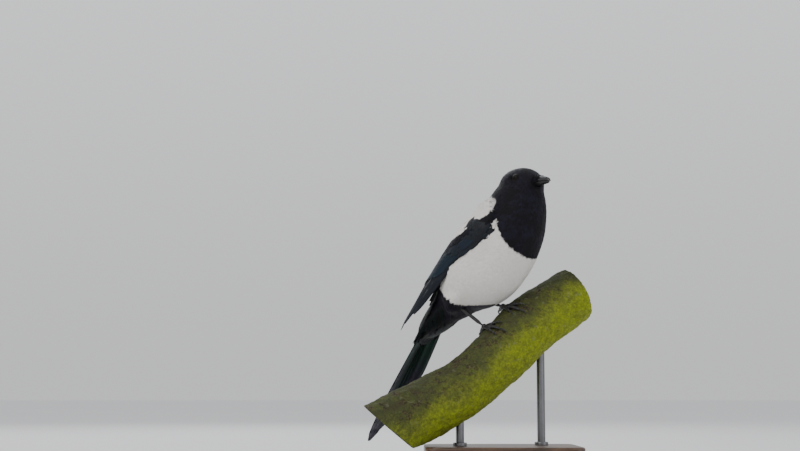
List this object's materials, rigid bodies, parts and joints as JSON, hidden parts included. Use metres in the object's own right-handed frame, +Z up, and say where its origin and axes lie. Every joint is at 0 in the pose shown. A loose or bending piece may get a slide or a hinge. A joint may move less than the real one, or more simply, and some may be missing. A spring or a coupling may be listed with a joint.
{
  "type": "perched magpie model",
  "caption": "Black and white long-tailed perching bird gripping a sloping length of mossy branch, held over a flat wooden base by steel rods.",
  "frame": {"origin": "centre of the underside of the base", "axes": "+Z up; +X to the right as the picture sees it, the way the bird faces; +Y away from the viewer"},
  "size_m": [0.2837, 0.2046, 0.3681],
  "materials": {
    "plumage_black": "soft black feathers with a faint violet gloss",
    "plumage_white": "matt off-white feathers",
    "wing_blue": "black feathers with a glossy blue sheen",
    "tail_green": "black feathers with a glossy green sheen",
    "bill_horn": "satin black horn",
    "eye_brown": "wet, dark brown",
    "leg_scale": "satin black scales",
    "claw_horn": "polished black horn",
    "bark_moss": "bark under grey-green and yellow-green algae",
    "stand_wood": "oiled dark hardwood",
    "stand_steel": "dark satin steel"
  },
  "bodies": {
    "root": {"head": "plumage_black", "neck": "plumage_black", "trunk": "plumage_white", "thigh_left": "plumage_black", "thigh_right": "plumage_black", "wing_left": "wing_blue", "wing_right": "wing_blue", "tail": "tail_green", "bill_upper": "bill_horn", "bill_lower": "bill_horn", "eye_left": "eye_brown", "eye_right": "eye_brown", "foot_left": "leg_scale", "foot_right": "leg_scale", "claw_left_hind": "claw_horn", "claw_left_inner": "claw_horn", "claw_left_middle": "claw_horn", "claw_left_outer": "claw_horn", "claw_right_hind": "claw_horn", "claw_right_inner": "claw_horn", "claw_right_middle": "claw_horn", "claw_right_outer": "claw_horn", "perch_branch": "bark_moss", "stand_base": "stand_wood", "stand_rod_low": "stand_steel", "stand_rod_high": "stand_steel"}
  },
  "joints": []
}
